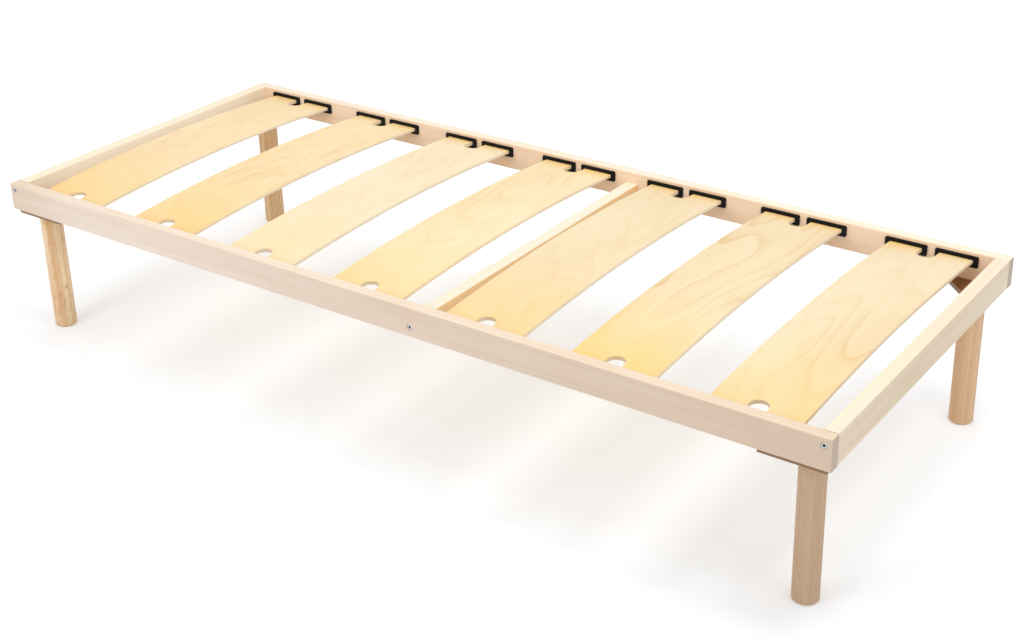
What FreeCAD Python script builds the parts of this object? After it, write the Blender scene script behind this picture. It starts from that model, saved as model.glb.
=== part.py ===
import FreeCAD, Part
import math
import os
import re
import Sketcher

# A slatted single bed base, in millimetres. X runs along the bed, Y across it from the front
# side rail to the back one, and Z up. The origin lies on the floor under the middle of the bed.

Vector = FreeCAD.Vector
ALONG = Vector(1, 0, 0)
ACROSS = Vector(0, 1, 0)
UP = Vector(0, 0, 1)

# Driving dimensions: name, value, meaning
SIZES = (
    ("bed_length", "1950", "over the ends of the side rails"),
    ("bed_width", "800", "over the outer faces of the side rails"),
    ("rail_height", "60", "height of the side and end rails"),
    ("side_rail_thickness", "24", ""),
    ("end_rail_thickness", "28", ""),
    ("rail_edge", "2", "rounding of the rails' and the crossbar's long edges"),
    ("crossbar_thickness", "28", ""),
    ("crossbar_height", "35", "the crossbar lies flush with the rails' undersides"),
    ("leg_length", "280", "from the floor to the corner plate"),
    ("leg_diameter", "48", ""),
    ("leg_from_end", "53", "from the end of the bed to the middle of a leg"),
    ("leg_from_side", "53", "from the side rail's outer face to the middle of a leg"),
    ("foot_bevel", "3", "bevel at the foot of a leg"),
    ("plate_thickness", "10", "corner plate between the legs and the rails"),
    ("plate_side", "124", "the corner plate's two equal sides"),
    ("plate_tip", "5", "width of the corner plate's blunt tips"),
    ("plate_setback", "9", "from a rail's outer face to the corner plate"),
    ("slat_count", "7", ""),
    ("end_slat_gap", "31", "from an end rail's inner face to the first holder"),
    ("slat_thickness", "8", ""),
    ("slat_crown", "16", "rise of the slat's middle above its ends"),
    ("tongue_width", "67.5", "each end of a slat has two tongues"),
    ("notch_width", "36", "between the two tongues"),
    ("notch_depth", "59", "from the tip of a tongue to the bottom of the notch"),
    ("tongue_corner", "3", "rounding of a tongue's corners"),
    ("tongue_insertion", "12", "how far a tongue reaches into the rail"),
    ("tip_gap", "1.5", "free length in front of a tongue's tip"),
    ("rim_side", "9.75", "slat holder's rim on the rail's face, on each side of the tongue"),
    ("rim_bar", "7.5", "the rim above and below the tongue"),
    ("rim_drop", "7.5", "from the rail's top to the rim"),
    ("rim_lip", "4", "how far the rim stands out from the rail"),
    ("rim_corner", "3", "rounding of the rim's corners"),
    ("plug_side", "5", "slat holder's plug in the rail, on each side of the tongue"),
    ("plug_bar", "4", "the plug above and below the tongue"),
    ("plug_back", "2.5", "the plug behind the tongue's tip"),
    ("mortise_clearance", "0.2", "around the plug"),
    ("slot_clearance", "0.3", "around the tongue"),
    ("bolt_diameter", "6", "bolts that join the rails"),
    ("bolt_head_diameter", "12", ""),
    ("bolt_head_height", "4", ""),
    ("bolt_recess", "0.5", "depth of the head below the rail's face"),
    ("bolt_end", "4.5", "length of a bolt behind its insert nut"),
    ("bolt_bevel", "0.8", "bevel of a bolt's head"),
    ("key_size", "5", "hexagon socket, across the flats"),
    ("key_depth", "2.5", ""),
    ("end_bolt_drop", "14", "from the rail's top to the bolts of the end rails"),
    ("crossbar_bolt_rise", "20", "from the rail's underside to the bolts of the crossbar"),
    ("insert_diameter", "10", "threaded insert nut"),
    ("insert_length", "20", ""),
    ("dowel_diameter", "6", ""),
    ("dowel_length", "30", ""),
    ("dowel_depth", "10", "length of a dowel in the side rail"),
    ("end_dowel_rise", "15", "from the rail's underside to the dowels of the end rails"),
    ("crossbar_dowel_rise", "7", "from the rail's underside to the dowels of the crossbar"),
    ("stud_diameter", "8", "stud in the top of a leg"),
    ("stud_depth", "30", "length of the stud in the leg"),
    ("stud_drop", "1", "from the corner plate's top to the end of the stud"),
    ("tee_flange_diameter", "20", "tee nut let into the top of the corner plate"),
    ("tee_flange_thickness", "1.5", ""),
    ("tee_barrel_diameter", "10.5", ""),
    ("tee_gap", "0.5", "from the leg to the tee nut's barrel"),
    ("screw_diameter", "4", "wood screws of the corner plate"),
    ("screw_head_diameter", "8", ""),
    ("screw_length", "30", ""),
    ("screw_point", "5", "length of the pointed tip"),
    ("screw_from_tip", "30", "from the corner plate's tip to the outer screws"),
    ("screw_from_corner", "22", "from the corner plate's square corner to the inner screw"),
    ("hole_clearance", "0.1", "around bolts, inserts, dowels, studs and screws"),
)

# Sizes that follow from the driving dimensions
WORKED_OUT = (
    ("rail_underside", "leg_length + plate_thickness"),
    ("rail_top", "rail_underside + rail_height"),
    ("inner_face", "bed_width/2 - side_rail_thickness"),
    ("cross_length", "2*inner_face"),
    ("end_joint", "bed_length/2 - end_rail_thickness/2"),
    ("tongue_pitch", "tongue_width + notch_width"),
    ("slat_width", "tongue_pitch + tongue_width"),
    ("slat_reach", "inner_face + tongue_insertion"),
    ("rim_width", "tongue_width + 2*rim_side"),
    ("rim_height", "slat_thickness + 2*rim_bar"),
    ("rim_face", "inner_face - rim_lip"),
    ("plug_width", "tongue_width + 2*plug_side"),
    ("plug_height", "slat_thickness + 2*plug_bar"),
    ("slot_depth", "tongue_insertion + tip_gap"),
    ("plug_depth", "slot_depth + plug_back"),
    ("holder_middle", "rail_top - rim_drop - rim_height/2"),
    ("holder_rise", "holder_middle - rail_underside"),
    ("first_slat", "end_rail_thickness + end_slat_gap + (tongue_pitch + rim_width)/2 - bed_length/2"),
    ("slat_pitch", "-2*first_slat/(slat_count - 1)"),
    ("crossbar_place", "slat_pitch/2*mod(slat_count; 2)"),
    ("arch_radius", "(rim_face^2 + slat_crown^2)/(2*slat_crown)"),
    ("arch_middle", "holder_middle + slat_crown - arch_radius"),
    ("end_bolt_rise", "rail_height - end_bolt_drop"),
    ("bolt_seat", "bolt_recess + bolt_head_height"),
    ("bolt_in_cross_rail", "insert_length + bolt_end"),
    ("bolt_tip", "side_rail_thickness + bolt_in_cross_rail"),
    ("tee_seat", "plate_thickness - tee_flange_thickness"),
    ("side_screw_line", "(plate_setback + side_rail_thickness)/2"),
    ("end_screw_line", "(plate_setback + end_rail_thickness)/2"),
    ("outer_screw", "plate_setback + plate_side - screw_from_tip"),
    ("inner_screw", "plate_setback + screw_from_corner"),
    ("screw_in_rail", "screw_length - plate_thickness"),
)
NAMES = {row[0] for row in SIZES + WORKED_OUT}

document = FreeCAD.newDocument("SlattedBedBase")
sheet = document.addObject("Spreadsheet::Sheet", "Sizes")
for row, (name, value, meaning) in enumerate(SIZES, start=1):
    sheet.set(f"A{row}", name)
    sheet.set(f"B{row}", value)
    sheet.set(f"C{row}", meaning)
    sheet.setAlias(f"B{row}", name)
for row, (name, formula) in enumerate(WORKED_OUT, start=len(SIZES) + 2):
    sheet.set(f"A{row}", name)
    sheet.set(f"B{row}", "=" + formula)
    sheet.setAlias(f"B{row}", name)
document.recompute()


# Formulas are written with the sheet's names, such as "bed_length/2 - plate_setback"
def expression(formula):
    return re.sub(r"[a-z]\w*", lambda word: "Sizes." + word[0] if word[0] in NAMES else word[0], formula)


def number(formula):
    return float(sheet.evalExpression(expression(formula)))


def bind(thing, setting, formula):
    thing.setExpression(setting, expression(formula))


# Sketches
def new_body(name):
    return document.addObject("PartDesign::Body", name)


def origin(body, role):
    return next(feature for feature in body.Origin.OriginFeatures if feature.Role == role)


def sketch_on(body, plane, offset="0"):
    """An empty sketch on one of the body's planes, moved along the plane's normal."""
    sketch = body.newObject("Sketcher::SketchObject", "Sketch")
    sketch.AttachmentSupport = [(origin(body, plane), "")]
    sketch.MapMode = "FlatFace"
    bind(sketch, "AttachmentOffset.Base.z", offset)
    return sketch


def tie(sketch, kind, formula, *ends):
    """A dimension of the sketch that follows a formula."""
    index = sketch.addConstraint(Sketcher.Constraint(kind, *ends, number(formula)))
    bind(sketch, f"Constraints[{index}]", formula)


def place(sketch, piece, point, x, y):
    """Ties a point of the sketch to its distances from the sketch's origin."""
    for kind, formula, axis in (("DistanceX", x, -2), ("DistanceY", y, -1)):
        if formula == "0":
            sketch.addConstraint(Sketcher.Constraint("PointOnObject", piece, point, axis))
        else:
            tie(sketch, kind, formula, -1, 1, piece, point)


def outline(sketch, corners):
    """A closed outline of straight lines, with each corner given as two formulas."""
    points = [Vector(number(x), number(y), 0) for x, y in corners]
    ends = zip(points, points[1:] + points[:1])
    lines = [sketch.addGeometry(Part.LineSegment(start, end), False) for start, end in ends]
    for line, following in zip(lines, lines[1:] + lines[:1]):
        sketch.addConstraint(Sketcher.Constraint("Coincident", line, 2, following, 1))
    for line, (x, y) in zip(lines, corners):
        place(sketch, line, 1, x, y)


def rectangle(sketch, left, low, right, high):
    outline(sketch, ((left, low), (right, low), (right, high), (left, high)))


def disc(sketch, x, y, diameter):
    circle = Part.Circle(Vector(number(x), number(y), 0), UP, number(diameter) / 2)
    index = sketch.addGeometry(circle, False)
    place(sketch, index, 3, x, y)
    tie(sketch, "Diameter", diameter, index)


def long_hole(sketch, start, end, width):
    """A hole with half-round ends about two middles, each given as two formulas."""
    middles = [Vector(number(x), number(y), 0) for x, y in (end, start)]
    run = (middles[0] - middles[1]).normalize()
    angle = math.atan2(run.y, run.x)
    radius = number(width) / 2
    side = Vector(-run.y, run.x, 0) * radius
    quarter = math.pi / 2

    def half_round(middle, first):
        circle = Part.Circle(middle, UP, radius)
        return sketch.addGeometry(Part.ArcOfCircle(circle, first, first + math.pi), False)

    end_round = half_round(middles[0], angle - quarter)
    upper = sketch.addGeometry(Part.LineSegment(middles[0] + side, middles[1] + side), False)
    start_round = half_round(middles[1], angle + quarter)
    lower = sketch.addGeometry(Part.LineSegment(middles[1] - side, middles[0] - side), False)
    ring = (end_round, upper, start_round, lower)
    for piece, following in zip(ring, ring[1:] + ring[:1]):
        sketch.addConstraint(Sketcher.Constraint("Tangent", piece, 2, following, 1))
    place(sketch, end_round, 3, *end)
    place(sketch, start_round, 3, *start)
    tie(sketch, "Radius", f"({width})/2", end_round)
    sketch.addConstraint(Sketcher.Constraint("Equal", end_round, start_round))


# Features
def pad(body, sketch, length, symmetric=False, reverse=False):
    feature = body.newObject("PartDesign::Pad", "Pad")
    feature.Profile = sketch
    feature.SideType = "Symmetric" if symmetric else "One side"
    feature.Reversed = reverse
    bind(feature, "Length", length)
    return feature


def pocket(body, sketch, depth, symmetric=False, reverse=False):
    """Cuts the sketch into the body, and makes sure that something was cut."""
    document.recompute()
    before = body.Shape.Volume
    feature = body.newObject("PartDesign::Pocket", "Pocket")
    feature.Profile = sketch
    feature.SideType = "Symmetric" if symmetric else "One side"
    feature.Reversed = reverse
    bind(feature, "Length", depth)
    document.recompute()
    if feature.Shape.Volume >= before:
        raise RuntimeError(f"a pocket cuts nothing from {body.Label}")
    return feature


def straight_edges(shape, direction):
    return [
        f"Edge{index}"
        for index, edge in enumerate(shape.Edges, start=1)
        if edge.Curve.TypeId == "Part::GeomLine" and abs(edge.Curve.Direction.dot(direction)) > 0.999
    ]


def round_edges(body, feature, edges, radius):
    rounding = body.newObject("PartDesign::Fillet", "Fillet")
    rounding.Base = (feature, edges)
    bind(rounding, "Radius", radius)
    return rounding


def round_along(body, feature, direction, radius):
    document.recompute()
    return round_edges(body, feature, straight_edges(feature.Shape, direction), radius)


def mirror_features(body, features, plane):
    mirror = body.newObject("PartDesign::Mirrored", "Mirrored")
    mirror.Originals = features
    mirror.MirrorPlane = (origin(body, plane), [""])
    body.Tip = mirror
    return mirror


def turned(name, plane, profile):
    """A body turned about its sketch's upright axis from half of its outline."""
    body = new_body(name)
    sketch = sketch_on(body, plane)
    outline(sketch, profile)
    turning = body.newObject("PartDesign::Revolution", "Turning")
    turning.Profile = sketch
    turning.ReferenceAxis = (sketch, ["V_Axis"])
    turning.Angle = 360
    return body


def move(body, x="0", y="0", z="0"):
    for axis, formula in (("x", x), ("y", y), ("z", z)):
        bind(body, f"Placement.Base.{axis}", formula)
    return body


# Repeated pieces
def mirrored(piece, normal):
    copy = document.addObject("Part::Mirroring", "Mirror")
    copy.Source = piece
    copy.Normal = normal
    return copy


def at_four_corners(front_left):
    front_right = mirrored(front_left, ALONG)
    return [front_left, front_right, mirrored(front_left, ACROSS), mirrored(front_right, ACROSS)]


def front_and_back(front):
    return [front, mirrored(front, ACROSS)]


CORNERS = ("front_left", "front_right", "back_left", "back_right")
nodes = []


def keep(label, piece):
    """Names a finished sub-part."""
    piece.Label = label
    nodes.append(piece)


def keep_corners(name, front_left):
    for corner, piece in zip(CORNERS, at_four_corners(front_left)):
        keep(f"{name}_{corner}", piece)


def keep_group(label, pieces):
    group = document.addObject("Part::Compound", label)
    group.Links = pieces
    keep(label, group)


# Each joint of a side rail: its place along the rail, and its bolt's and dowel's height
END_JOINT = ("end_bolt_rise", "end_dowel_rise")
CROSSBAR_JOINT = ("crossbar_bolt_rise", "crossbar_dowel_rise")
RAIL_JOINTS = (
    ("-end_joint", *END_JOINT),
    ("end_joint", *END_JOINT),
    ("crossbar_place", *CROSSBAR_JOINT),
)
BOLT_HOLE = "bolt_diameter + 2*hole_clearance"
DOWEL_HOLE = "dowel_diameter + 2*hole_clearance"
INSERT_HOLE = "insert_diameter + 2*hole_clearance"
SCREW_HOLE = "screw_diameter + 2*hole_clearance"


def side_rail():
    """The front rail: its outer face is at Y 0, its inner face faces the slats."""
    body = new_body("SideRail")
    section = sketch_on(body, "YZ_Plane")
    rectangle(section, "0", "0", "side_rail_thickness", "rail_height")
    bar = pad(body, section, "bed_length", symmetric=True)
    round_along(body, bar, ALONG, "rail_edge")

    holes = sketch_on(body, "XZ_Plane")
    heads = sketch_on(body, "XZ_Plane")
    dowels = sketch_on(body, "XZ_Plane", "-side_rail_thickness")
    for x, bolt_rise, dowel_rise in RAIL_JOINTS:
        disc(holes, x, bolt_rise, BOLT_HOLE)
        disc(heads, x, bolt_rise, "bolt_head_diameter + 4*hole_clearance")
        disc(dowels, x, dowel_rise, DOWEL_HOLE)
    pocket(body, holes, "side_rail_thickness")
    pocket(body, heads, "bolt_seat")
    pocket(body, dowels, "dowel_depth + hole_clearance", reverse=True)

    screws = sketch_on(body, "XY_Plane")
    for side in "-+":
        for from_end in ("inner_screw", "outer_screw"):
            disc(screws, f"0 {side} (bed_length/2 - {from_end})", "side_screw_line", SCREW_HOLE)
    pocket(body, screws, "screw_in_rail + hole_clearance", reverse=True)

    mortises = sketch_on(body, "XZ_Plane", "-side_rail_thickness")
    half_run = "(plug_width - plug_height)/2"
    for side in "-+":
        middle = f"first_slat {side} tongue_pitch/2"
        ends = ((f"{middle} - {half_run}", "holder_rise"), (f"{middle} + {half_run}", "holder_rise"))
        long_hole(mortises, *ends, "plug_height + 2*mortise_clearance")
    mortise = pocket(body, mortises, "plug_depth + mortise_clearance", reverse=True)
    row = body.newObject("PartDesign::LinearPattern", "MortiseRow")
    row.Originals = [mortise]
    row.Direction = (origin(body, "X_Axis"), [""])
    bind(row, "Length", "slat_pitch*(slat_count - 1)")
    bind(row, "Occurrences", "slat_count")
    body.Tip = row
    return move(body, y="-bed_width/2", z="rail_underside")


def cross_rail(name, thickness, height, bolt_rise, dowel_rise):
    """A rail that butts against the side rails, drilled at both ends for a bolt and a dowel."""
    body = new_body(name)
    section = sketch_on(body, "XZ_Plane")
    rectangle(section, f"-{thickness}/2", "0", f"{thickness}/2", height)
    bar = pad(body, section, "cross_length", symmetric=True)
    round_along(body, bar, ACROSS, "rail_edge")
    drilled = []
    for diameter, rise, depth in (
        (INSERT_HOLE, bolt_rise, "insert_length"),
        (BOLT_HOLE, bolt_rise, "bolt_in_cross_rail + hole_clearance"),
        (DOWEL_HOLE, dowel_rise, "dowel_length - dowel_depth + hole_clearance"),
    ):
        end = sketch_on(body, "XZ_Plane", "cross_length/2")
        disc(end, "0", rise, diameter)
        drilled.append(pocket(body, end, depth))
    mirror_features(body, drilled, "XZ_Plane")
    return move(body, z="rail_underside")


def end_rail():
    """The left end rail, with a screw hole over each corner plate."""
    body = cross_rail("EndRail", "end_rail_thickness", "rail_height", *END_JOINT)
    screws = sketch_on(body, "XY_Plane")
    for side in "-+":
        disc(screws, "end_screw_line - end_rail_thickness/2",
             f"0 {side} (bed_width/2 - outer_screw)", SCREW_HOLE)
    pocket(body, screws, "screw_in_rail + hole_clearance", reverse=True)
    return move(body, x="-end_joint", z="rail_underside")


def crossbar():
    body = cross_rail("Crossbar", "crossbar_thickness", "crossbar_height", *CROSSBAR_JOINT)
    return move(body, x="crossbar_place", z="rail_underside")


# Places on a corner plate, measured from the bed's corner
PLATE_SCREWS = (
    ("inner_screw", "side_screw_line"),
    ("outer_screw", "side_screw_line"),
    ("end_screw_line", "outer_screw"),
)
LEG_PLACE = ("leg_from_end", "leg_from_side")


def from_corner(x, y):
    """A place in the bed, from its distances to the front left corner's outer faces."""
    return f"{x} - bed_length/2", f"{y} - bed_width/2"


def corner_plate():
    """A triangle with blunt tips, which lies under the rails and carries a leg."""
    body = new_body("CornerPlate")
    shape = sketch_on(body, "XY_Plane")
    near, far, tip = "plate_setback", "plate_setback + plate_side", "plate_setback + plate_tip"
    outline(shape, ((near, near), (far, near), (far, tip), (tip, far), (near, far)))
    pad(body, shape, "plate_thickness")
    barrel = sketch_on(body, "XY_Plane")
    disc(barrel, *LEG_PLACE, "tee_barrel_diameter + 2*hole_clearance")
    pocket(body, barrel, "plate_thickness", reverse=True)
    flange = sketch_on(body, "XY_Plane", "tee_seat")
    disc(flange, *LEG_PLACE, "tee_flange_diameter + 2*hole_clearance")
    pocket(body, flange, "tee_flange_thickness", reverse=True)
    screws = sketch_on(body, "XY_Plane")
    for x, y in PLATE_SCREWS:
        disc(screws, x, y, SCREW_HOLE)
    holes = pocket(body, screws, "plate_thickness", reverse=True)
    countersinks = body.newObject("PartDesign::Chamfer", "Countersinks")
    countersinks.Base = (holes, rims_at_floor(holes.Shape, number(SCREW_HOLE) / 2))
    bind(countersinks, "Size", "(screw_head_diameter - screw_diameter)/2")
    x, y = from_corner("0", "0")
    return move(body, x, y, "leg_length")


def rims_at_floor(shape, radius):
    """The circles of one radius that lie on a body's own floor."""
    return [
        f"Edge{index}"
        for index, edge in enumerate(shape.Edges, start=1)
        if edge.Curve.TypeId == "Part::GeomCircle"
        and math.isclose(edge.Curve.Radius, radius)
        and abs(edge.Curve.Center.z) < 1e-6
    ]


def leg():
    """A round leg with a bevelled foot and a hole for its stud at the top."""
    radius = "leg_diameter/2"
    body = turned("Leg", "XZ_Plane", (
        ("0", "0"),
        (f"{radius} - foot_bevel", "0"),
        (radius, "foot_bevel"),
        (radius, "leg_length"),
        ("0", "leg_length"),
    ))
    hole = sketch_on(body, "XY_Plane", "leg_length")
    disc(hole, "0", "0", "stud_diameter + 2*hole_clearance")
    pocket(body, hole, "stud_depth + hole_clearance")
    return move(body, *from_corner(*LEG_PLACE))


def slat(order):
    """A bent slat whose ends are divided into two tongues by round-bottomed notches."""
    body = new_body("Slat")
    section = sketch_on(body, "YZ_Plane")
    arcs = []
    for sign in "+-":
        radius = f"arch_radius {sign} slat_thickness/2"
        reach = math.asin(number("slat_reach") / number(radius))
        circle = Part.Circle(Vector(0, number("arch_middle"), 0), UP, number(radius))
        arc = Part.ArcOfCircle(circle, math.pi / 2 - reach, math.pi / 2 + reach)
        arcs.append(section.addGeometry(arc, False))
        tie(section, "Radius", radius, arcs[-1])
    upper, lower = arcs
    place(section, upper, 3, "0", "arch_middle")
    section.addConstraint(Sketcher.Constraint("Coincident", upper, 3, lower, 3))
    for point, reach in ((1, "slat_reach"), (2, "-slat_reach")):
        tie(section, "DistanceX", reach, -1, 1, upper, point)
        ends = [section.getPoint(arc, point) for arc in arcs]
        tip = section.addGeometry(Part.LineSegment(*ends), False)
        section.addConstraint(Sketcher.Constraint("Coincident", tip, 1, upper, point))
        section.addConstraint(Sketcher.Constraint("Coincident", tip, 2, lower, point))
        section.addConstraint(Sketcher.Constraint("Vertical", tip))
    strip = pad(body, section, "slat_width", symmetric=True)
    round_along(body, strip, UP, "tongue_corner")

    notch = sketch_on(body, "XY_Plane", "arch_middle + arch_radius + slat_crown")
    bottom = "slat_reach - notch_depth + notch_width/2"
    long_hole(notch, ("0", f"-({bottom})"), ("0", "-(slat_reach + notch_width)"), "notch_width")
    cut = pocket(body, notch, "3*slat_crown + slat_thickness")
    mirror_features(body, [cut], "XZ_Plane")
    return move(body, f"first_slat + {order}*slat_pitch")


def slat_holder(order, side):
    """A holder for one tongue: a rim on the rail's face, and a plug with a slot that follows the slat."""
    body = new_body("SlatHolder")
    rim = sketch_on(body, "XZ_Plane")
    rectangle(rim, "-rim_width/2", "-rim_height/2", "rim_width/2", "rim_height/2")
    plate = pad(body, rim, "rim_lip", reverse=True)
    round_along(body, plate, ACROSS, "rim_corner")
    plug = sketch_on(body, "XZ_Plane")
    half_run = "(plug_width - plug_height)/2"
    long_hole(plug, (f"-{half_run}", "0"), (half_run, "0"), "plug_height")
    pad(body, plug, "plug_depth")

    slot = sketch_on(body, "YZ_Plane")
    corners = []
    for sign, ends in (("+", ("rim_lip", "-slot_depth")), ("-", ("-slot_depth", "rim_lip"))):
        radius = f"(arch_radius {sign} (slat_thickness/2 + slot_clearance))"
        for y in ends:
            across = f"(inner_face - ({y}))"
            corners.append((y, f"arch_middle - holder_middle + sqrt({radius}^2 - {across}^2)"))
    outline(slot, corners)
    pocket(body, slot, "tongue_width + 2*slot_clearance", symmetric=True)
    tongue = f"first_slat + {order}*slat_pitch {side} tongue_pitch/2"
    return move(body, tongue, "-inner_face", "holder_middle")


# Fasteners
def frame_bolt(x, rise):
    """A bolt with a hexagon socket, which lies across the bed with its head in the side rail."""
    shank, head = "bolt_diameter/2", "bolt_head_diameter/2"
    body = turned("FrameBolt", "XY_Plane", (
        ("0", "bolt_recess"),
        (f"{head} - bolt_bevel", "bolt_recess"),
        (head, "bolt_recess + bolt_bevel"),
        (head, "bolt_seat"),
        (shank, "bolt_seat"),
        (shank, "bolt_tip"),
        ("0", "bolt_tip"),
    ))
    socket = sketch_on(body, "XZ_Plane", "-bolt_recess")
    flat, corner = "key_size/2", "key_size/sqrt(3)"
    outline(socket, (
        (corner, "0"), (f"{corner}/2", flat), (f"-{corner}/2", flat),
        (f"-{corner}", "0"), (f"-{corner}/2", f"-{flat}"), (f"{corner}/2", f"-{flat}"),
    ))
    pocket(body, socket, "key_depth")
    return move(body, x, "-bed_width/2", f"rail_underside + {rise}")


def insert_nut(x, rise):
    """A threaded sleeve in the end of an end rail or of the crossbar."""
    bore, outside = "bolt_diameter/2 + hole_clearance", "insert_diameter/2"
    body = turned("InsertNut", "XY_Plane", (
        (bore, "0"), (outside, "0"), (outside, "insert_length"), (bore, "insert_length"),
    ))
    return move(body, x, "-inner_face", f"rail_underside + {rise}")


def dowel(x, rise):
    """A wooden dowel, partly in the side rail and partly in the rail that butts against it."""
    radius, far = "dowel_diameter/2", "dowel_length - dowel_depth"
    body = turned("Dowel", "XY_Plane", (
        ("0", "-dowel_depth"), (radius, "-dowel_depth"), (radius, far), ("0", far),
    ))
    return move(body, x, "-inner_face", f"rail_underside + {rise}")


def leg_stud():
    """A threaded stud from the leg into the corner plate's tee nut."""
    radius, top = "stud_diameter/2", "plate_thickness - stud_drop"
    body = turned("LegStud", "XZ_Plane", (
        ("0", "-stud_depth"), (radius, "-stud_depth"), (radius, top), ("0", top),
    ))
    return move(body, *from_corner(*LEG_PLACE), "leg_length")


def tee_nut():
    """A flanged nut let into the corner plate from above."""
    bore = "stud_diameter/2 + hole_clearance"
    barrel, flange = "tee_barrel_diameter/2", "tee_flange_diameter/2"
    body = turned("TeeNut", "XZ_Plane", (
        (bore, "tee_gap"),
        (barrel, "tee_gap"),
        (barrel, "tee_seat"),
        (flange, "tee_seat"),
        (flange, "plate_thickness"),
        (bore, "plate_thickness"),
    ))
    return move(body, *from_corner(*LEG_PLACE), "leg_length")


def plate_screw(x, y):
    """A countersunk wood screw through the corner plate into a rail."""
    shank, head = "screw_diameter/2", "screw_head_diameter/2"
    body = turned("PlateScrew", "XZ_Plane", (
        ("0", "0"),
        (head, "0"),
        (shank, f"{head} - {shank}"),
        (shank, "screw_length - screw_point"),
        ("0", "screw_length"),
    ))
    return move(body, *from_corner(x, y), "leg_length")


def at_rail_joints(make):
    """One fastener for each of the six joints between the side rails and the rails between them."""
    (left, *end), _, (middle, *bar) = RAIL_JOINTS
    return at_four_corners(make(left, end)) + front_and_back(make(middle, bar))


# Frame
for end, rail in zip(("front", "back"), front_and_back(side_rail())):
    keep(f"side_rail_{end}", rail)
left_rail = end_rail()
keep("end_rail_left", left_rail)
keep("end_rail_right", mirrored(left_rail, ALONG))
keep("centre_crossbar", crossbar())
keep_corners("corner_plate", corner_plate())
keep_corners("leg", leg())

# Slats and their holders
for order in range(int(number("slat_count"))):
    keep(f"slat_{order + 1}", slat(order))
    for side, sign in (("left", "-"), ("right", "+")):
        for end, holder in zip(("front", "back"), front_and_back(slat_holder(order, sign))):
            keep(f"slat_holder_{end}_{order + 1}_{side}", holder)

# Fasteners
keep_group("frame_bolts", at_rail_joints(lambda x, rises: frame_bolt(x, rises[0])))
keep_group("insert_nuts", at_rail_joints(lambda x, rises: insert_nut(x, rises[0])))
keep_group("dowels", at_rail_joints(lambda x, rises: dowel(x, rises[1])))
keep_group("leg_studs", at_four_corners(leg_stud()))
keep_group("tee_nuts", at_four_corners(tee_nut()))
screws = [screw for spot in PLATE_SCREWS for screw in at_four_corners(plate_screw(*spot))]
keep_group("plate_screws", screws)

document.recompute()
failed = [thing.Label for thing in document.Objects if {"Invalid", "Error"} & set(thing.State)]
faulty = [node.Label for node in nodes if node.Shape.isNull() or not node.Shape.isValid()]
if failed or faulty:
    raise RuntimeError(f"failed: {failed}, faulty: {faulty}")

os.makedirs("parts", exist_ok=True)
for node in nodes:
    node.Shape.exportStep(f"parts/{node.Label}.step")
print(f"{len(nodes)} sub-parts, {sum(len(node.Shape.Solids) for node in nodes)} solids")
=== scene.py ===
# %% [markdown]
# # A slatted bed base
#
# This lesson dresses the CAD model of a single bed base: beech rails on round legs, and wide bent
# slats that sit in black plastic holders. The CAD model already has every rail, leg, plate, bolt
# and holder at its real size and place. What is left for Blender is how they look, and the slats,
# which need a mesh that can bend.
#
# Everything is in metres. X runs along the bed, Y across it from the front rail to the back one, and
# Z up from the floor.

# %% Load the CAD model
import math

import bmesh
import bpy
from mathutils import Matrix, Vector


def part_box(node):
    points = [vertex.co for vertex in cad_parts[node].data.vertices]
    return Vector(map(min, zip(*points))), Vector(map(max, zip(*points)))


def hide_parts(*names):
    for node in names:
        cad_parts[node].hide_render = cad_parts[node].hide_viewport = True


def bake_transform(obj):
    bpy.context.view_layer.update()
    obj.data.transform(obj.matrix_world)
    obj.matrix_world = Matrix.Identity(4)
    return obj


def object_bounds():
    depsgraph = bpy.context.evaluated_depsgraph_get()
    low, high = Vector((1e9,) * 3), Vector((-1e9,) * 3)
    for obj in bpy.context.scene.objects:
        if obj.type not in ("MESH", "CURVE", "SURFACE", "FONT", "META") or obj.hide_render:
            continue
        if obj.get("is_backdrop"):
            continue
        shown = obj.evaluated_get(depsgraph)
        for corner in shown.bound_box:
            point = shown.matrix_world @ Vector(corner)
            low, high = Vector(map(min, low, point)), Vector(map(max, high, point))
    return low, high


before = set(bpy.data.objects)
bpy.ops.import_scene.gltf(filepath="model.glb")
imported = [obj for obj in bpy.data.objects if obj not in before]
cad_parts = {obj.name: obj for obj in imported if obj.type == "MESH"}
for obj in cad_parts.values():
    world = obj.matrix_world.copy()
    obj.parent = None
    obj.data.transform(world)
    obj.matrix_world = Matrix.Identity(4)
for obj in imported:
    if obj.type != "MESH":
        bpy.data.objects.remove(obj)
cad_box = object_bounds()
scene = bpy.context.scene
MM = 0.001

# %% [markdown]
# ## The camera
#
# The photograph was taken from beyond the front right corner, at about eye height. A camera can be
# placed by eye, or worked out: the corners of the rails, the bolts and the legs are known points, so
# the one camera that puts all of them where the photograph shows them can be solved for. These numbers
# come from such a fit. Blender turns a focal length in pixels into millimetres through the width of the
# sensor. The legs in the photograph run nearly parallel, as they do when a lens is shifted down instead
# of tilted, so the camera has a little of that shift.

# %% Place the camera
PICTURE_WIDTH = 1024
FOCAL_PIXELS = 1631.9
SHIFT_PIXELS = -90
SENSOR_WIDTH = 36.0
EYE = Vector((1.848, -2.440, 1.683))
TURN, TILT, ROLL = (math.radians(angle) for angle in (35.86, 24.01, -1.36))

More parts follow.
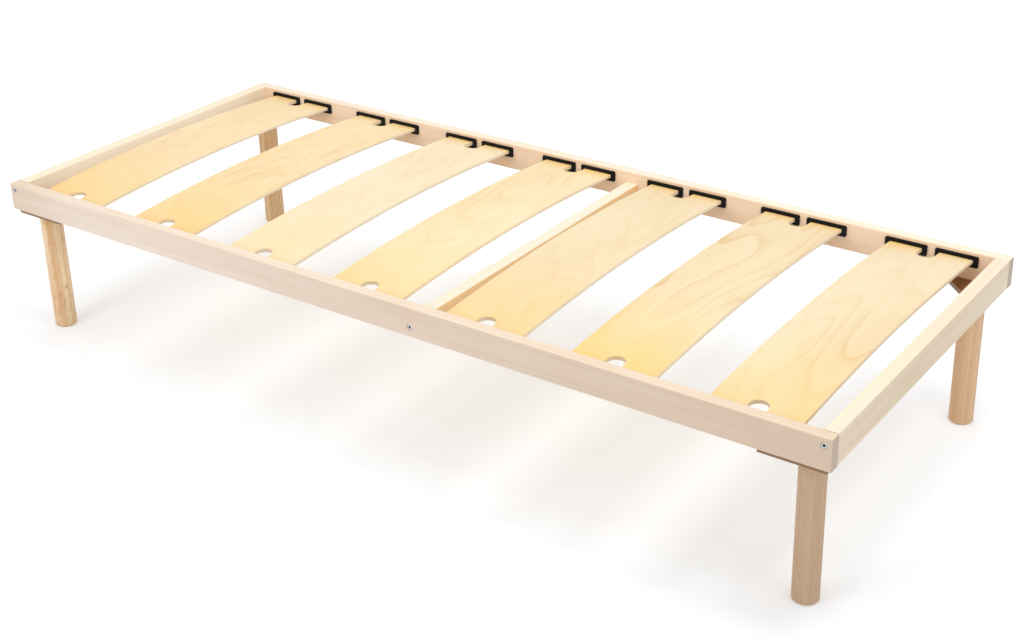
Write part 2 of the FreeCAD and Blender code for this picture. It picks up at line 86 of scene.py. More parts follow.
lens = bpy.data.cameras.new("photo_lens")
lens.sensor_width = SENSOR_WIDTH
lens.lens = SENSOR_WIDTH * FOCAL_PIXELS / PICTURE_WIDTH
lens.shift_y = SHIFT_PIXELS / PICTURE_WIDTH
camera = bpy.data.objects.new("photo_camera", lens)
aim = Matrix.Rotation(TURN, 4, "Z") @ Matrix.Rotation(math.pi / 2 - TILT, 4, "X")
camera.matrix_world = Matrix.Translation(EYE) @ aim @ Matrix.Rotation(ROLL, 4, "Z")
scene.collection.objects.link(camera)
scene.camera = camera
scene.view_settings.view_transform = "Standard"
print(f"camera with a {lens.lens:.1f} mm lens, {EYE.length:.2f} m from the middle of the bed")

# %% [markdown]
# ## Shader maths in plain Python
#
# A procedural material is a sum of patterns, and a sum is easier to read as `0.6 * rings + 0.4 * fibre`
# than as a picture of nodes. `Wire` holds one socket of a node tree. Arithmetic on it adds Math nodes,
# and `node` adds any other kind: first its settings, then the values or links of its sockets.

# %% A socket that can be calculated with
class Wire:
    """One socket of a node tree. Arithmetic on wires becomes Math nodes."""

    def __init__(self, tree, socket=None):
        self.tree = tree
        self.socket = socket

    def node(self, kind, settings=None, values=None, out=0):
        made = self.tree.nodes.new("ShaderNode" + kind)
        for name, value in (settings or {}).items():
            if name == "stops":
                self.set_stops(made.color_ramp, value)
            else:
                setattr(made, name, value)
        for name, value in (values or {}).items():
            if isinstance(value, Wire):
                self.tree.links.new(value.socket, made.inputs[name])
            else:
                made.inputs[name].default_value = value
        return Wire(self.tree, made.outputs[out])

    @staticmethod
    def set_stops(ramp, stops):
        while len(ramp.elements) < len(stops):
            ramp.elements.new(1.0)
        for element, (position, level) in zip(ramp.elements, stops):
            element.position = position
            element.color = (level, level, level, 1.0)

    def math(self, operation, *others):
        return self.node("Math", {"operation": operation}, dict(enumerate((self, *others))))

    def math_after(self, operation, first):
        return self.node("Math", {"operation": operation}, {0: first, 1: self})

    def __add__(self, other):
        return self.math("ADD", other)

    def __radd__(self, other):
        return self.math("ADD", other)

    def __mul__(self, other):
        return self.math("MULTIPLY", other)

    def __rmul__(self, other):
        return self.math("MULTIPLY", other)

    def __sub__(self, other):
        return self.math("SUBTRACT", other)

    def __rsub__(self, other):
        return self.math_after("SUBTRACT", other)

    def __truediv__(self, other):
        return self.math("DIVIDE", other)

    def __rtruediv__(self, other):
        return self.math_after("DIVIDE", other)

    def ramp(self, *stops):
        """Reads the wire off a curve, given as (value, level) stops."""
        return self.node("ValToRGB", {"stops": stops}, {"Fac": self})

    def mix(self, first, second):
        """A colour between two colours, with this wire as the share of the second."""
        return self.node("Mix", {"data_type": "RGBA"}, {0: self, 6: first, 7: second}, out=2)

    def length(self):
        """The length of this vector."""
        return self.node("VectorMath", {"operation": "LENGTH"}, {0: self}, out=1)

    def noise(self, scale=1.0, detail=2.0, roughness=0.5):
        """Soft random clouds read at this vector."""
        values = {"Vector": self, "Scale": scale, "Detail": detail, "Roughness": roughness}
        return self.node("TexNoise", {}, values)

    def axes(self):
        """The three parts of this vector."""
        return [self.node("SeparateXYZ", {}, {0: self}, out=axis) for axis in range(3)]

    def vector(self, *parts):
        """A vector made of three wires or numbers."""
        return self.node("CombineXYZ", {}, dict(enumerate(parts)))


print("wires can be added, subtracted, multiplied and divided")

# %% [markdown]
# ## Starting a material
#
# Colours are written here as a screen shows them, from 0 to 255. The renderer adds up light, so it
# needs them in linear numbers. The other helpers open a new material, link wires to its surface shader
# and give it to CAD pieces, whose shapes stay as they are.

# %% Start a material
def colour(red, green, blue):
    """A colour as it is read off a screen, from 0 to 255, turned into the renderer's own numbers."""
    def linear(level):
        share = level / 255
        return share / 12.92 if share <= 0.04045 else ((share + 0.055) / 1.055) ** 2.4

    return (linear(red), linear(green), linear(blue), 1.0)


def new_material(name):
    """An empty material: its surface shader, and a wire to start its sums from."""
    material = bpy.data.materials.new(name)
    material.use_nodes = True
    shader = material.node_tree.nodes["Principled BSDF"]
    return material, shader, Wire(material.node_tree)


def connect(shader, **wires):
    """Links wires to the shader's sockets, named with _ for a space."""
    for name, wire in wires.items():
        wire.tree.links.new(wire.socket, shader.inputs[name.replace("_", " ")])


def dress(material, *names):
    """Gives CAD pieces their finish."""
    for name in names:
        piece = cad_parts[name]
        piece.data.materials.clear()
        piece.data.materials.append(material)


print(f"a screen's mid grey is {colour(128, 128, 128)[0]:.2f} of full light")

# %% [markdown]
# ## A white studio
#
# The photograph shows the bed on a white floor with faint shadows. A white floor could be had by
# turning up the lamps, but that would bleach the wood too. Instead the floor is pale, the lamps stay
# at a plain level, and a little light of its own, which only the camera and reflections see, lifts the
# floor to white. It is weaker near the bed, where the lamps are and the shadows fall, and stronger
# farther out, as with a backdrop that has its own lamps. Behind the bed, where the floor shows between
# the slats, it is a little stronger, which is painted light over the shadows there, and at the right
# end it is a little weaker, which is painted shade.

# %% Sky
SKY_LIGHT = 0.73
SKY_COLOUR = (0.985, 0.993, 1.0, 1.0)


def seen_directly(start):
    """1 for rays from the camera, reflections and see-through rays, 0 for light that falls on things."""
    kinds = ("Is Camera Ray", "Is Glossy Ray", "Is Transmission Ray")
    camera_ray, glossy_ray, clear_ray = (start.node("LightPath", out=kind) for kind in kinds)
    return camera_ray.math("MAXIMUM", glossy_ray).math("MAXIMUM", clear_ray)


scene.world = bpy.data.worlds.new("studio_sky")
scene.world.use_nodes = True
background = scene.world.node_tree.nodes["Background"]
background.inputs["Color"].default_value = SKY_COLOUR
sky = Wire(scene.world.node_tree)
connect(background, Strength=SKY_LIGHT + (1 - SKY_LIGHT) * seen_directly(sky))
print("sky that looks white and lights with", SKY_LIGHT)

# %% Floor
FLOOR_RADIUS = 12.0
FLOOR_COLOUR = (0.793, 0.81, 0.838, 1.0)
FLOOR_LIFT = ((0.10, 0.27), (0.25, 0.42))
# Painted light on the floor behind the bed, and painted shade at its right end
PAINTED_LIGHT_BEHIND, BEHIND = 0.085, ((0.2, 0.0), (0.9, 1.0))
PAINTED_SHADE_RIGHT, AT_THE_RIGHT = 0.045, ((0.4, 0.0), (0.8, 1.0))

floor_mesh = bpy.data.meshes.new("studio_floor")
sheet = bmesh.new()
bmesh.ops.create_circle(sheet, cap_ends=True, segments=96, radius=FLOOR_RADIUS)
sheet.to_mesh(floor_mesh)
sheet.free()
floor = bpy.data.objects.new("studio_floor", floor_mesh)
scene.collection.objects.link(floor)
floor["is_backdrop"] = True

floor_paint, shader, start = new_material("floor_white")
shader.inputs["Base Color"].default_value = FLOOR_COLOUR
shader.inputs["Roughness"].default_value = 0.9
shader.inputs["Specular IOR Level"].default_value = 0.0
shader.inputs["Emission Strength"].default_value = 1.0
floor_place = start.node("TexCoord", out="Object")
along, across = floor_place.axes()[:2]
lift = (floor_place.length() / FLOOR_RADIUS).ramp(*FLOOR_LIFT)
# The floor's glow is raised behind the bed as painted light and lowered at the right end as painted shade
lift = lift + PAINTED_LIGHT_BEHIND * (across + 0.5).ramp(*BEHIND) - PAINTED_SHADE_RIGHT * along.ramp(*AT_THE_RIGHT)
connect(shader, Emission_Color=lift * seen_directly(start))
floor_mesh.materials.append(floor_paint)
print("floor of", 2 * FLOOR_RADIUS, "m across")

# %% [markdown]
# ## Soft light
#
# The slats' shadows on the floor lean to the left, and more so at the left end: the main light hung
# two metres up, a little beyond the right end of the bed. One soft square lamp there gives the same
# shadows. Yet no side of the bed is dark, so three wider lamps help: one above the left half, one
# before the front left corner, which lights the front rail, and one far to the right for the right end.

# %% Lamps
def softbox(name, place, target, width, watts):
    """A square lamp that hangs at one place and looks at another."""
    lamp = bpy.data.lights.new(name, "AREA")
    lamp.shape = "SQUARE"
    lamp.size = width
    lamp.energy = watts
    box = bpy.data.objects.new(name, lamp)
    box.location = place
    box.rotation_euler = (Vector(target) - Vector(place)).to_track_quat("-Z", "Y").to_euler()
    scene.collection.objects.link(box)
    print(f"{name}: {watts} W from a square of {width} m")


softbox("side_softbox", (1.1, 0.0, 2.05), (0.3, 0.0, 0.3), width=0.5, watts=8.5)
softbox("top_softbox", (-0.4, 0.1, 2.6), (-0.8, 0.0, 0.3), width=2.0, watts=14)
softbox("front_softbox", (-0.9, -2.9, 1.5), (0.1, -0.3, 0.3), width=1.4, watts=20)
softbox("right_softbox", (3.2, -0.9, 1.3), (0.4, -0.1, 0.3), width=2.0, watts=9)

# %% [markdown]
# ## Wood, all the way through
#
# A picture of wood glued on a board looks wrong at its ends, where the grain should turn into arcs. So
# the wood here is solid: every point in space has a distance from the heart of the tree, that distance
# divided by a year's growth says where in a ring the point lies, and a face of the board simply shows
# the rings that it cuts. Slow noise along the trunk makes the rings wander, and stretched fine noise
# adds fibres and pores.

# %% Growth rings
WANDER = 0.01


def stretched(parts, along, across):
    """A place (length, first, second), scaled once along the trunk and once across it."""
    length, first, second = parts
    return length.vector(length * along, first * across, second * across)


def growth_rings(parts, heart, ring):
    """How dark each point is within its year's ring: pale in spring, dark in autumn."""
    length, first, second = parts
    slow = length.vector(length * 0.9, first * 3.0 + heart[0] * 7, second * 3.0)
    slower = length.vector(length * 0.7, second * 3.0, first * 3.0 + 5)
    sway = WANDER * (slow.noise(detail=1.0) - 0.5)
    lean = WANDER * (slower.noise(detail=1.0) - 0.5)
    radius = length.vector(first - heart[0] + sway, second - heart[1] + lean, 0.0)
    years = radius.length() / ring + 0.5 * stretched(parts, 1.5, 30).noise()
    return years.math("FRACT").ramp((0.0, 0.0), (0.72, 0.75), (0.86, 1.0), (1.0, 0.0))


print(f"rings wander by up to {WANDER / MM / 2:.0f} mm")

# %% Solid wood
BED_LENGTH = cad_box[1].x - cad_box[0].x
FADE_MIDDLE = 0.34


def wood(name, along, heart, ring, shades, side_shading=None, fade=None,
         contrast=0.2, lines=0.4, flecks=0.3, pore=(130, 700)):
    """Wood whose trunk runs along one axis (0, 1 or 2), with its heart at a place across that axis.

    The shades are pale and dark, for the faces and for the cut ends. Side shading is a pair of shades
    for the side faces, where they differ from the tops: painted shade and warm bounced light, against
    which the tops' shades are painted light. Fade is a curve by which the board darkens along the bed.
    Contrast is the share of the rings in the figure, and lines the strength of the streaks. Flecks is
    how strong the pores are, and pore how many there are to a metre along and across the trunk.
    """
    material, shader, start = new_material(name)
    pale, dark, cut_pale, cut_dark = shades
    place = start.node("TexCoord", out="Object").axes()
    across = [axis for axis in range(3) if axis != along]
    parts = [place[axis] for axis in (along, *across)]
    growth = growth_rings(parts, heart, ring)
    streak = stretched(parts, 1.6, 95).noise(detail=3.0, roughness=0.6)
    fibre = stretched(parts, 14, 900).noise()
    fleck = stretched(parts, *pore).noise(detail=1.0).ramp((0.58, 0.0), (0.72, 1.0))
    clouds = stretched(parts, 3.5, 16).noise()
    board = stretched(parts, 1.1, 4).noise(detail=1.0)

    soft_streak = 0.5 + lines * (streak.ramp((0.3, 0.0), (0.7, 1.0)) - 0.5)
    tone = contrast * growth + (1 - contrast) * soft_streak + 0.25 * (fibre - 0.5) + flecks * fleck
    tone = tone + 0.7 * (clouds - 0.5) + 0.6 * (board - 0.5)
    if fade:
        tone = tone + (0.5 + parts[0] / BED_LENGTH).ramp(*fade) - FADE_MIDDLE

    facing = [part.math("ABSOLUTE") for part in start.node("TexCoord", out="Normal").axes()]
    end_grain = facing[along].ramp((0.7, 0.0), (0.95, 1.0))
    face = tone.mix(pale, dark)
    # The side faces take other shades than the tops: painted shade and warm bounced light on the sides,
    # painted light on the tops
    if side_shading:
        face = facing[across[0]].ramp((0.5, 0.0), (0.9, 1.0)).mix(face, tone.mix(*side_shading))
    surface = end_grain.mix(face, (0.7 * growth + 0.4 * fleck).mix(cut_pale, cut_dark))
    relief = {"Strength": 0.25, "Distance": 0.0003, "Height": fibre - 0.5 * fleck}
    connect(shader, Base_Color=surface, Roughness=0.5 + 0.12 * streak + 0.15 * end_grain,
            Normal=start.node("Bump", {}, relief))
    shader.inputs["Specular IOR Level"].default_value = 0.35
    return material


print(f"boards can fade along the {BED_LENGTH:.2f} m of the bed")

# %% [markdown]
# ## Beech rails
#
# The rails are pale beech under a thin matt lacquer: fine straight grain, a rosy cream colour and small
# dark flecks. Each board gets its own heart, well outside the board, so that no two faces repeat, and
# its own shades. The front rail is browner towards its right end and a little at its left end, the back
# rail is rosier, the left end rail is the palest, and the crossbar is nearly orange on its sides. Tops
# are paler than sides, so most of the boards have a second pair of shades for their side faces. This is
# painted light and shade: the paler tops stand for the light from above, and the darker or warmer sides,
# the back rail's rosy ones and the crossbar's orange ones, for shade and the warm light that the wood
# around them throws back. The left end rail is the palest partly as painted light on its shaded inner
# face.

# %% Rails and crossbar
BEECH_RING = 0.0052
BEECH_CUT = (colour(209, 191, 173), colour(174, 154, 137))
BEECH = (colour(244, 228, 209), colour(227, 204, 177), *BEECH_CUT)
# The side pairs are painted shade and warm bounced light for the side faces; the tops' shades are painted
# light
BEECH_SIDE_SHADING = (colour(242, 226, 211), colour(220, 196, 172))
FRONT_FADE = ((0.0, 0.5), (0.05, 0.3), (0.12, 0.09), (0.85, 0.6), (0.93, 0.84), (1.0, 0.94))
CREAM_BEECH = (colour(252, 241, 222), colour(240, 219, 193), *BEECH_CUT)
CREAM_SIDE_SHADING = (colour(254, 229, 201), colour(241, 203, 167))
# Paler partly as painted light on the left end rail's shaded inner face
PALE_BEECH_PAINTED_LIGHT = (colour(255, 240, 216), colour(252, 226, 194), *BEECH_CUT)
TAN_BEECH = (colour(250, 238, 216), colour(232, 212, 184), *BEECH_CUT)
TAN_SIDE_SHADING = (colour(247, 231, 206), colour(222, 199, 168))
YELLOW_BEECH = (colour(249, 235, 214), colour(240, 222, 196), *BEECH_CUT)
YELLOW_SIDE_SHADING = (colour(255, 220, 166), colour(250, 200, 140))
RAIL_LEVEL = 0.32


def beech_rail(node, along, heart, shades, side_shading=None, fade=None):
    dress(wood(f"beech_{node}", along, heart, BEECH_RING, shades, side_shading, fade), node)
    print(node, "in beech")


beech_rail("side_rail_front", 0, (-0.300, RAIL_LEVEL - 0.16), BEECH, BEECH_SIDE_SHADING, FRONT_FADE)
beech_rail("side_rail_back", 0, (0.280, RAIL_LEVEL - 0.21), CREAM_BEECH, CREAM_SIDE_SHADING)
beech_rail("end_rail_left", 1, (-0.830, RAIL_LEVEL - 0.15), PALE_BEECH_PAINTED_LIGHT)
beech_rail("end_rail_right", 1, (0.800, RAIL_LEVEL + 0.14), TAN_BEECH, TAN_SIDE_SHADING)
beech_rail("centre_crossbar", 1, (0.220, RAIL_LEVEL - 0.09), YELLOW_BEECH, YELLOW_SIDE_SHADING)

# %% [markdown]
# ## Turned legs
#
# The legs are a browner wood with open pores, which show as short dark dashes. They are cut from
# different boards: the front left one has the strongest figure, the front right one is the darkest.
# The table gives how far the heart lies from the leg's middle, the width of a ring, the strength of the
# lines and of the flecks, and the pale and the dark shade.

# %% Legs
LEG_CUT = (colour(190, 156, 122), colour(150, 114, 82))
LEG_CONTRAST = 0.35
LEG_PORE = (45, 560)
LEGS = {
    "front_left": ((0.050, -0.060), 0.0030, 1.1, 0.9, colour(255, 232, 196), colour(210, 158, 106)),
    "front_right": ((0.090, 0.020), 0.0048, 0.45, 0.35, colour(214, 184, 152), colour(184, 149, 118)),
    "back_left": ((-0.060, 0.070), 0.0044, 1.0, 0.8, colour(248, 216, 170), colour(208, 160, 108)),
    "back_right": ((0.110, -0.050), 0.0052, 0.6, 0.4, colour(240, 203, 164), colour(212, 170, 130)),
}
for corner, (offset, ring, lines, flecks, pale, dark) in LEGS.items():
    low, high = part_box(f"leg_{corner}")
    heart = ((low.x + high.x) / 2 + offset[0], (low.y + high.y) / 2 + offset[1])
    leg_wood = wood(f"leg_{corner}", 2, heart, ring, (pale, dark, *LEG_CUT),
                    contrast=LEG_CONTRAST, lines=lines, flecks=flecks, pore=LEG_PORE)
    dress(leg_wood, f"leg_{corner}")
print(len(LEGS), "legs")

# %% [markdown]
# ## Plywood
#
# Slats and corner plates are plywood. Their faces show a sheet that was peeled off a turning log, so
# the knife ran along the rings and crossed them at a very flat angle: broad flames and watery lines,
# long in one direction. On the edges the sheets show as thin stripes, every second one cut across its
# grain and so a little darker.
#
# Both need three numbers at each point: how far across the sheet, how far along it and how deep. The
# plates are flat, so their place in space will do. The slats are bent, and bend again in use, so their
# mesh carries these numbers with it as an attribute.

# %% Peeled veneer
def veneer_face(sheet_place, shades, flame, fine, dashes):
    """The colour of a sheet's face, with the patterns that other parts of the finish use again."""
    across, along, depth = sheet_place.axes()
    flames = across.vector(across * 5.5, along * 1.2, 0.0).noise(detail=1.5)
    ripple = across.vector(across * 18, along * 6.0, 2.0).noise(detail=1.0)
    rings = (14.0 * flames + 7.0 * across + 0.7 * ripple).math("FRACT")
    lines = rings.ramp((0.0, 0.0), (0.62, 0.3), (0.9, 1.0), (1.0, 0.0))
    clouds = across.vector(across * 5, along * 1.8, 4.0).noise().ramp((0.32, 0.0), (0.68, 1.0))
    streak = across.vector(across * 210 + along * 10, along * dashes, 0.0).noise(1.0, 3.0, 0.6)
    fibre = across.vector(across * 900, along * 16, depth * 900).noise()
    figure = flame * lines * (0.25 + 0.75 * clouds) + 0.3 * clouds
    figure = figure + fine * (streak - 0.38) + 0.15 * (fibre - 0.5)
    return figure.mix(*shades), clouds, streak, fibre, depth


print("veneer ready")

# %% Plywood
PLIES = 7


def plywood(sheet_place, shader, thickness, shades, flame, fine, dashes=11.0, tint_and_painted_shade=None):
    """Peeled veneer on the faces and stripes on the edges, from a place (across, along, depth).

    The shades are the pale and the honey parts of the face, the crossing plies and the glue. Flame and
    fine say how strong the flames are, and the fine dashes between them, of which there are so many to
    a metre. The tint is a share and its colour: on the slats a golden tone towards the front, and
    painted shade and warm bounced light at the back, where they lie in the holders.
    """
    pale, honey, edge, glue_line = shades
    face, clouds, streak, fibre, depth = veneer_face(sheet_place, (pale, honey), flame, fine, dashes)
    if tint_and_painted_shade:
        face = (tint_and_painted_shade[0] * (0.7 + 0.6 * clouds)).mix(face, tint_and_painted_shade[1])

    layer = (depth + thickness / 2) / (thickness / PLIES)
    crossing = ((layer.math("FLOOR") * 0.5).math("FRACT") * 2).math("LESS_THAN", 0.5)
    glue = layer.math("FRACT").ramp((0.0, 1.0), (0.12, 0.0), (0.9, 0.0), (1.0, 1.0))
    inside = (depth.math("ABSOLUTE") / (thickness / 2)).ramp((0.72, 1.0), (0.9, 0.0))
    stripes = (inside * (1 - crossing)).mix(face, edge)
    surface = (inside * glue * 0.8).mix(stripes, glue_line)
    relief = {"Strength": 0.2, "Distance": 0.0002, "Height": fibre - glue * inside}
    connect(shader, Base_Color=surface, Roughness=0.42 + 0.16 * streak,
            Normal=depth.node("Bump", {}, relief))
    shader.inputs["Specular IOR Level"].default_value = 0.4


print("plywood of", PLIES, "plies")

# %% Corner plates
# A browner plywood, darkened further as painted shade: the plates lie in shade under the slats, and their
# edges under the rails
PLATE_SHADES = (colour(148, 102, 62), colour(120, 78, 44), colour(158, 134, 110), colour(100, 80, 62))
CORNERS = ("front_left", "front_right", "back_left", "back_right")


def plate_plywood():
    material, shader, start = new_material("plate_plywood")
    low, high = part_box("corner_plate_front_left")
    x, y, z = start.node("TexCoord", out="Object").axes()
    sheet_place = start.vector(y, x, z - (low.z + high.z) / 2)
    plywood(sheet_place, shader, high.z - low.z, PLATE_SHADES, flame=0.5, fine=0.4)
    return material


dress(plate_plywood(), *(f"corner_plate_{corner}" for corner in CORNERS))
print(len(CORNERS), "plywood corner plates")

# %% [markdown]
# ## Bent slats
#
# A slat is a strip of plywood bent to a shallow arch, and it works as a spring. Pressed down, its
# middle sinks and its ends stay in the holders. A rigid mesh can't do that, so each slat is made here
# again as a mesh with many steps along its length, in two halves that meet in the middle.
#
# The outline is drawn flat: straight sides, rounded tongues and a round-bottomed notch. It is cut into
# strips, given its thickness, rounded along its edges and only then bent. Bending comes last because
# all of that is easier on a flat sheet. The long edges are well rounded, as they are on such slats, and
# the notch, which is punched out later, is only a little softened.

# %% The slat's sizes, read from the CAD model
slat_low, slat_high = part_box("slat_1")
rim_low, rim_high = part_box("slat_holder_front_1_left")
SLAT_WIDTH = slat_high.x - slat_low.x
SLAT_REACH = slat_high.y
SLAT_THICKNESS = 8 * MM
RIM_FACE = -rim_high.y
RIM_MIDDLE = (rim_low.z + rim_high.z) / 2
CROWN = slat_high.z - SLAT_THICKNESS / 2 - RIM_MIDDLE
ARCH_RADIUS = (RIM_FACE**2 + CROWN**2) / (2 * CROWN)
ARCH_MIDDLE = RIM_MIDDLE + CROWN - ARCH_RADIUS
print(f"slats {SLAT_WIDTH:.3f} m wide, {CROWN / MM:.1f} mm crown, {ARCH_RADIUS:.2f} m radius")

# %% The flat outline of half a slat
NOTCH_WIDTH, NOTCH_DEPTH = 36 * MM, 59 * MM
TONGUE_CORNER = 3 * MM


def arc(middle, radius, first, last, steps):
    """Points on a circle, from one angle in degrees to another."""
    turns = [math.radians(first + (last - first) * step / steps) for step in range(steps + 1)]
    return [(middle[0] + radius * math.cos(turn), middle[1] + radius * math.sin(turn)) for turn in turns]


def half_slat_outline():
    """From the middle of the slat to the tips of its two tongues, as points (across, along)."""
    side, tip, notch = SLAT_WIDTH / 2, SLAT_REACH, NOTCH_WIDTH / 2
    inner = tip - TONGUE_CORNER
    points = [(side, 0.0)]
    points += arc((side - TONGUE_CORNER, inner), TONGUE_CORNER, 0, 90, steps=6)
    points += [(notch, tip)]
    points += arc((0.0, tip - NOTCH_DEPTH + notch), notch, 0, -180, steps=20)
    points += [(-notch, tip)]
    points += arc((TONGUE_CORNER - side, inner), TONGUE_CORNER, 90, 180, steps=6)
    return points + [(-side, 0.0)]


print(len(half_slat_outline()), "points round half a slat")

# %% Round the edges of a flat slat
SIDE_ROUND, NOTCH_ROUND = 2.0 * MM, 0.7 * MM
HAIR = 0.01 * MM
CORNER_ANGLE = math.radians(60)
SMOOTH_ANGLE = math.radians(40)


def in_notch(point):
    reach = SLAT_REACH - NOTCH_DEPTH
    return abs(point.x) < NOTCH_WIDTH / 2 + HAIR and abs(point.y) > reach - HAIR


def round_edges(bm, radius, steps, notch):
    """Rounds the upper and lower edges of the notch, or those of all the rest of the outline."""
    bm.normal_update()
    edges = [
        edge for edge in bm.edges
        if edge.calc_face_angle(0.0) > CORNER_ANGLE
        and all(abs(vertex.co.z) > SLAT_THICKNESS / 2 - HAIR for vertex in edge.verts)
        and not all(abs(vertex.co.y) < HAIR for vertex in edge.verts)
        and all(in_notch(vertex.co) for vertex in edge.verts) == notch
    ]
    bmesh.ops.bevel(bm, geom=edges, offset=radius, segments=steps, profile=0.5, affect="EDGES")


def crease(bm):
    """Lets the light turn only over the rounded edges: flat faces stay flat up to their rims."""
    bm.normal_update()
    for edge in bm.edges:
        rounded = {round(abs(face.normal.z), 2) not in (0.0, 1.0) for face in edge.link_faces}
        edge.smooth = len(rounded) == 1 and edge.calc_face_angle(0.0) < SMOOTH_ANGLE


print(f"long edges rounded by {SIDE_ROUND / MM:.1f} mm, notches by {NOTCH_ROUND / MM:.1f} mm")

# %% Cut, thicken and round
STRIP = 12 * MM
STRIPS = int(SLAT_REACH / STRIP)


def flat_half_slat(end):
    """Half of a slat before it is bent: end is -1 for the front half and 1 for the back half."""
    bm = bmesh.new()
    corners = [bm.verts.new((x, end * y, 0.0)) for x, y in half_slat_outline()]
    bm.faces.new(corners if end > 0 else corners[::-1])
    for strip in range(1, STRIPS):
        cut = (0.0, end * SLAT_REACH * strip / STRIPS, 0.0)
        everything = bm.verts[:] + bm.edges[:] + bm.faces[:]
        bmesh.ops.bisect_plane(bm, geom=everything, plane_co=cut, plane_no=(0, 1, 0))
    sheet = bm.faces[:]
    for vertex in bm.verts:
        vertex.co.z = -SLAT_THICKNESS / 2
    raised = bmesh.ops.extrude_face_region(bm, geom=sheet)["geom"]
    for vertex in (item for item in raised if isinstance(item, bmesh.types.BMVert)):
        vertex.co.z = SLAT_THICKNESS / 2
    bmesh.ops.reverse_faces(bm, faces=sheet)
    bm.faces.ensure_lookup_table()
    bmesh.ops.recalc_face_normals(bm, faces=bm.faces[:])
    round_edges(bm, SIDE_ROUND, steps=4, notch=False)
    round_edges(bm, NOTCH_ROUND, steps=2, notch=True)
    bmesh.ops.remove_doubles(bm, verts=bm.verts[:], dist=HAIR)
    crease(bm)
    return bm


print("each half in", STRIPS, "strips")

# %% Bend
SHEET_STEP = 1.13


def half_slat_mesh(name, order, middle, end):
    """Half of one slat, bent to its arch. Each slat's veneer is cut from another stretch of the sheet."""
    bm = flat_half_slat(end)
    mesh = bpy.data.meshes.new(name)
    bm.to_mesh(mesh)
    bm.free()
    sheet_place = mesh.attributes.new("sheet_place", "FLOAT_VECTOR", "POINT")
    for vertex, place in zip(mesh.vertices, sheet_place.data):
        x, y, depth = vertex.co
        place.vector = (x + order * SHEET_STEP, y, depth)
        rise = math.sqrt((ARCH_RADIUS + depth) ** 2 - y**2)
        vertex.co = (middle + x, y, ARCH_MIDDLE + rise)
    mesh.shade_smooth()
    return mesh


print(f"slats bent with their middle {CROWN / MM:.0f} mm above the holders")

# %% [markdown]
# ## Seven veneers
#
# No two slats in the photograph look the same: the two on the left are warm and full of fine dashes,
# the third is the palest, and the two on the right show broad flames. So each gets a veneer of its own,
# made from the same recipe with other numbers: its shades, the strength of the flames and of the
# dashes, the number of dashes to a metre, and how golden the slat is towards its front end.

# %% Veneers
SLAT_EDGES = (colour(250, 238, 216), colour(226, 208, 180))
PLAIN = (colour(237, 219, 184), colour(220, 186, 130))
LIGHT = (colour(246, 228, 190), colour(226, 191, 130))
PALE = (colour(246, 230, 198), colour(230, 198, 147))
WARM = (colour(250, 228, 186), colour(230, 190, 126))
GOLDEN = colour(248, 206, 130)
GOLDEN_FRONT = ((0.0, 0.7), (0.12, 0.5), (0.4, 0.0))
# Painted shade and warm bounced light at the back tips, which lie in the holders
PAINTED_SHADE_BACK = ((0.91, 0.0), (0.95, 0.3), (0.98, 1.0))
VENEERS = (
    (WARM, 0.2, 1.2, 18, 1.15),
    (WARM, 0.3, 1.3, 18, 1.05),
    (PALE, 0.25, 0.5, 11, 0.55),
    (LIGHT, 0.3, 0.6, 11, 0.85),
    (PLAIN, 0.25, 0.5, 11, 0.75),
    (PLAIN, 0.7, 0.6, 11, 1.35),
    (PLAIN, 0.5, 0.5, 11, 0.95),
)


def slat_plywood(node, shades, flame, fine, dashes, golden):
    material, shader, start = new_material(f"plywood_{node}")
    sheet_place = start.node("Attribute", {"attribute_name": "sheet_place"}, out="Vector")
    from_front = 0.5 + sheet_place.axes()[1] / (2 * SLAT_REACH)
    # Golden towards the front, and painted shade at the back tips in the holders
    ends = golden * from_front.ramp(*GOLDEN_FRONT) + from_front.ramp(*PAINTED_SHADE_BACK)
    plywood(sheet_place, shader, SLAT_THICKNESS, shades + SLAT_EDGES, flame, fine, dashes, (ends, GOLDEN))
    return material


print(len(VENEERS), "veneers")

# %% Seven slats in two halves each
SLATS = sorted(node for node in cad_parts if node.startswith("slat_") and node[5:].isdigit())
for order, node in enumerate(SLATS):
    veneer = slat_plywood(node, *VENEERS[order])
    low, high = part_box(node)
    middle = (low.x + high.x) / 2
    for side, end in (("front", -1), ("back", 1)):
        name = f"{node}_{side}_half"
        half = bpy.data.objects.new(name, half_slat_mesh(name, order, middle, end))
        half.data.materials.append(veneer)
        scene.collection.objects.link(half)
        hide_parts(node)
        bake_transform(half)
print(len(SLATS), "slats, each half with", len(half.data.vertices), "points")

# %% [markdown]
# ## Black plastic holders
#
# The holders are injection-moulded: an even deep black with a fine matt grain, which takes the shine
# off. Flat black would look like a hole, so the black is a little cloudy, and so is the roughness, and
# a very small bump gives the grain.

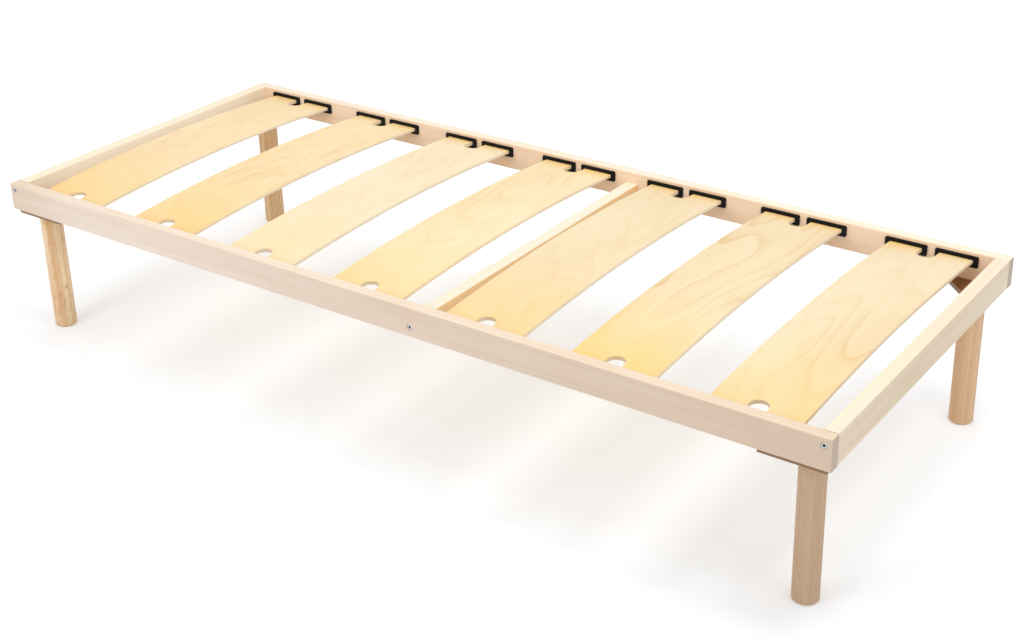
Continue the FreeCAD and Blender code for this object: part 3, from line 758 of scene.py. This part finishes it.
# %% Holders
def holder_plastic():
    material, shader, start = new_material("holder_plastic")
    place = start.node("TexCoord", out="Object")
    grain = place.noise(1400.0)
    cloud = place.noise(60.0)
    relief = {"Strength": 0.15, "Distance": 0.0001, "Height": grain}
    connect(shader, Base_Color=cloud.mix(colour(9, 9, 9), colour(17, 16, 16)),
            Roughness=0.5 + 0.2 * cloud, Normal=start.node("Bump", {}, relief))
    shader.inputs["Specular IOR Level"].default_value = 0.15
    return material


HOLDERS = [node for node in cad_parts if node.startswith("slat_holder_")]
dress(holder_plastic(), *HOLDERS)
print(len(HOLDERS), "holders")

# %% [markdown]
# ## Zinc and dowels
#
# Bolts, nuts, studs and screws are zinc-plated steel: bright, slightly bluish and cloudy rather than
# polished. The sockets of the bolts are darker than their heads, as painted shade in the recess. The
# heads stand in the outer faces of the side rails, so depth below those faces says where the sockets
# are. The dowels are plain beech and hardly show.

# %% Fasteners
# Painted shade in the bolts' sockets
PAINTED_SOCKET_SHADE = ((0.2, 0.0), (0.8, 1.0))
DOWEL_RING = 0.002


def zinc_steel(name, recessed_from=None):
    """Plated steel, which darkens from a given distance to the middle of the bed inwards: painted shade.
    """
    material, shader, start = new_material(name)
    place = start.node("TexCoord", out="Object")
    cloud = place.noise(900.0, detail=3.0)
    zinc_and_socket_shade = cloud.mix(colour(190, 192, 193), colour(214, 214, 212))
    if recessed_from:
        depth = (recessed_from - place.axes()[1].math("ABSOLUTE")) / MM
        # Painted shade in the sockets
        zinc_and_socket_shade = (depth * 0.5).ramp(*PAINTED_SOCKET_SHADE).mix(zinc_and_socket_shade, colour(34, 34, 34))
    connect(shader, Base_Color=zinc_and_socket_shade, Roughness=0.3 + 0.2 * cloud)
    shader.inputs["Metallic"].default_value = 1.0
    return material


dress(zinc_steel("zinc_steel"), "insert_nuts", "leg_studs", "tee_nuts", "plate_screws")
dress(zinc_steel("zinc_bolts", recessed_from=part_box("frame_bolts")[1].y), "frame_bolts")
dress(wood("dowel_beech", 1, (0.0, RAIL_LEVEL - 0.2), DOWEL_RING, BEECH), "dowels")
print("fasteners dressed")

# %% [markdown]
# ## The size after dressing
#
# Dressing the model mustn't change its size, so the box around it is printed beside the CAD model's.

# %% Finish
dressed_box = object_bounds()
boxes = {"cad": cad_box, "visual": dressed_box}
for name, (low, high) in boxes.items():
    print(name, "box", [round(value, 4) for value in high - low])
